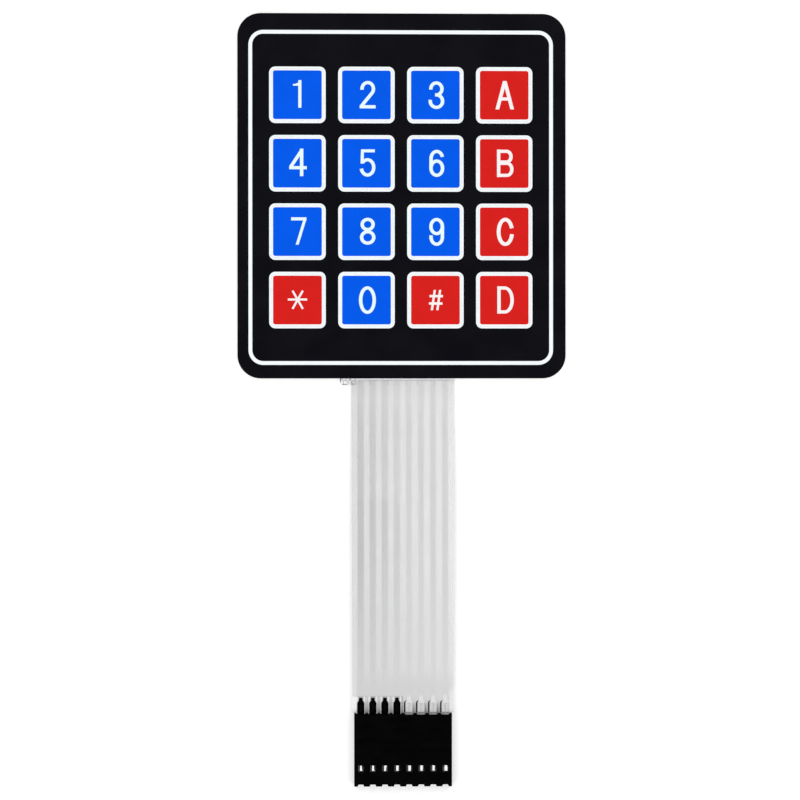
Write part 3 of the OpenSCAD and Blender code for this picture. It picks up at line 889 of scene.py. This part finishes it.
# The shapes of each legend, in millimetres from its key's centre
GLYPHS = {
    "0": ring(0.19, 0, 1.43, 2.57, PEN),
    "1": leg((0.52, 3.06), (0.52, -2.74), 0.66)
        + [arc(-0.92, 3.06, 1.36, 0.82, 0, -90) + [(-0.92, 1.9), (0.5, 1.9), (0.5, 3.06)]],
    "2": bar(-1.42, 1.92, -2.5) + stroke(arc(0.28, 1.27, 1.2, 1.33, 188, -42) + [(-1.02, -2.3)], PEN),
    "3": bar(-0.06, 0.35, 0.04) + stroke(arc(0.21, 1.3, 1.17, 1.26, 186, -90), PEN)
        + stroke(arc(0.22, -1.28, 1.3, 1.32, 90, -192), PEN),
    "4": [[(0.72, 3.05), (-1.72, -0.62), (-0.88, -0.62), (1.26, 2.62), (1.26, 3.05)]]
        + bar(-1.72, 1.97, -0.95) + leg((0.89, 3.05), (0.89, -2.73)),
    "5": bar(-1.14, 1.76, 2.62, 0.62) + leg((-0.83, 2.9), (-0.93, -0.06), 0.64)
        + stroke(arc(0.22, -0.86, 1.31, 1.61, 140, -170), PEN),
    "6": ring(0.29, -1.0, 1.22, 1.5, PEN)
        + stroke([(-0.93, -1.0)] + arc(0.293, 1.05, 1.2, 1.49, 180, 13), PEN),
    "7": bar(-1.33, 1.88, 2.68, 0.64) + leg((1.55, 2.5), (-0.06, -2.74), 0.62),
    "8": ring(0.25, 1.52, 1.15, 1.07, PEN) + ring(0.25, -1.2, 1.28, 1.2, PEN),
    "9": ring(0.26, 1.1, 1.21, 1.48, PEN) + stroke([(1.47, 1.1)] + arc(0.27, -1.1, 1.2, 1.52, 0, -193), PEN),
    "A": leg((0.12, 3.0), (-1.46, -2.98), 0.78) + leg((0.12, 3.0), (1.68, -2.98), 0.78)
        + bar(-1.2, 1.45, -0.78, 0.66),
    "B": leg((-1.18, 2.94), (-1.18, -2.86))
        + stroke([(-1.2, 2.58)] + arc(0.5, 1.45, 0.93, 1.13, 90, -90) + [(-1.2, 0.32)], PEN)
        + stroke([(-1.2, 0.05)] + arc(0.6, -1.22, 1.0, 1.27, 90, -90) + [(-1.2, -2.49)], PEN),
    "C": stroke(arc(0.225, 0, 1.42, 2.6, 17, 349), BROAD_PEN),
    "D": leg((-1.12, 2.92), (-1.12, -2.84))
        + stroke([(-1.1, 2.56)] + arc(0.12, 0.04, 1.53, 2.52, 90, -90) + [(-1.1, -2.48)], PEN),
    "*": bar(-2.03, 2.04, 0.11, SLANT_PEN[1]) + stroke([(-1.04, 1.97), (1.13, -1.86)], SLANT_PEN)
        + stroke([(1.12, 1.97), (-1.05, -1.86)], SLANT_PEN),
    "#": bar(-1.25, 1.57, 0.84, THIN_PEN[1]) + bar(-1.37, 1.48, -0.72, THIN_PEN[1])
        + leg((-0.13, 2.15), (-0.76, -2.12), THIN_PEN[0]) + leg((0.99, 2.15), (0.4, -2.12), THIN_PEN[0]),
}


def add_legends():
    """The legends. Their white ink is thin enough to take a hint of the colour under it."""
    on_blue = ink_material("white_on_blue", (0.80, 0.95, 0.975), 0.98)
    on_red = ink_material("white_on_red", (0.96, 0.89, 0.895), 0.98)
    for x, y, name in key_centres():
        shapes = [[(x + px, y + py) for px, py in polygon] for polygon in GLYPHS[name]]
        piece = thick_piece(
            "legend_" + GLYPH_NAMES.get(name, name), shapes,
            lambda x, y: fields_top, lambda x, y: fields_top + LEGEND_T)
        add_piece(piece, on_blue if name.isdigit() else on_red, "print_white")


# Stage

def add_floor():
    """A pale floor that looks white and still takes the keypad's soft shadow."""
    corners = [(x, y, FLOOR_Z) for x, y in box(-FLOOR_HALF_W, FLOOR_HALF_W, -FLOOR_HALF_W, FLOOR_HALF_W)]
    floor = add_mesh("floor", corners, [(0, 1, 2, 3)])
    s = Shader("floor", Specular_IOR_Level=0.0, Roughness=1.0)
    s.set("Base Color", s.mix(s.noise(60, detail=2), (0.68, 0.68, 0.68), (0.70, 0.70, 0.70)))
    s.set("Emission Color", (1, 1, 1, 1))
    s.set("Emission Strength", s.times(s.background_rays(), FLOOR_GLOW))
    floor.data.materials.append(s.material)


def set_world():
    """Soft grey light all round. What gloss reflects is white low down and dark straight above."""
    world = bpy.data.worlds.new("studio")
    bpy.context.scene.world = world
    world.use_nodes = True
    sky = Nodes(world.node_tree)
    height = sky.axis(sky.node("ShaderNodeTexCoord").outputs["Generated"], "Z")
    ceiling = sky.between(height, *CEILING_HEIGHTS, *CEILING_LIGHTS)
    rays = sky.node("ShaderNodeLightPath").outputs
    light = sky.pick(rays["Is Glossy Ray"], AMBIENT, ceiling)
    light = sky.pick(rays["Is Camera Ray"], light, 1)
    light = sky.pick(rays["Is Transmission Ray"], light, 1)
    background = sky.tree.nodes["Background"]
    background.inputs["Color"].default_value = (1, 1, 1, 1)
    sky.link(light, background.inputs["Strength"])


def add_lamps():
    for i, (azimuth, elevation, share) in enumerate(LAMPS):
        lamp = bpy.data.lights.new(f"softbox_{i}", "AREA")
        lamp.shape = "DISK"
        lamp.size = LAMP_SIZE
        lamp.energy = LAMP_POWER * share
        holder = add_object(lamp.name, lamp)
        a, e = math.radians(azimuth), math.radians(elevation)
        out = Vector((math.sin(a) * math.cos(e), math.cos(a) * math.cos(e), math.sin(e)))
        holder.location = Vector(VIEW_TARGET) * MM + out * LAMP_DISTANCE
        holder.rotation_euler = out.to_track_quat("Z", "Y").to_euler()


def add_camera():
    camera = bpy.data.cameras.new("camera")
    camera.lens = VIEW_LENS
    camera.sensor_width = SENSOR_W
    camera.clip_start, camera.clip_end = VIEW_NEAR, VIEW_FAR
    holder = add_object("camera", camera)
    turn = Matrix.Identity(3)
    for angle, name in zip(VIEW_TILTS, "XYZ"):
        turn = turn @ Matrix.Rotation(math.radians(angle), 3, name)
    holder.location = (Vector(VIEW_TARGET) + turn @ Vector((0, 0, VIEW_DISTANCE))) * MM
    holder.rotation_euler = turn.to_euler()
    bpy.context.scene.camera = holder


add_camera()
set_world()
add_lamps()
add_floor()
paint_nodes()
add_films()
add_clear_adhesive()
add_legends()

bpy.context.scene.view_settings.view_transform = "Standard"
bpy.context.view_layer.update()
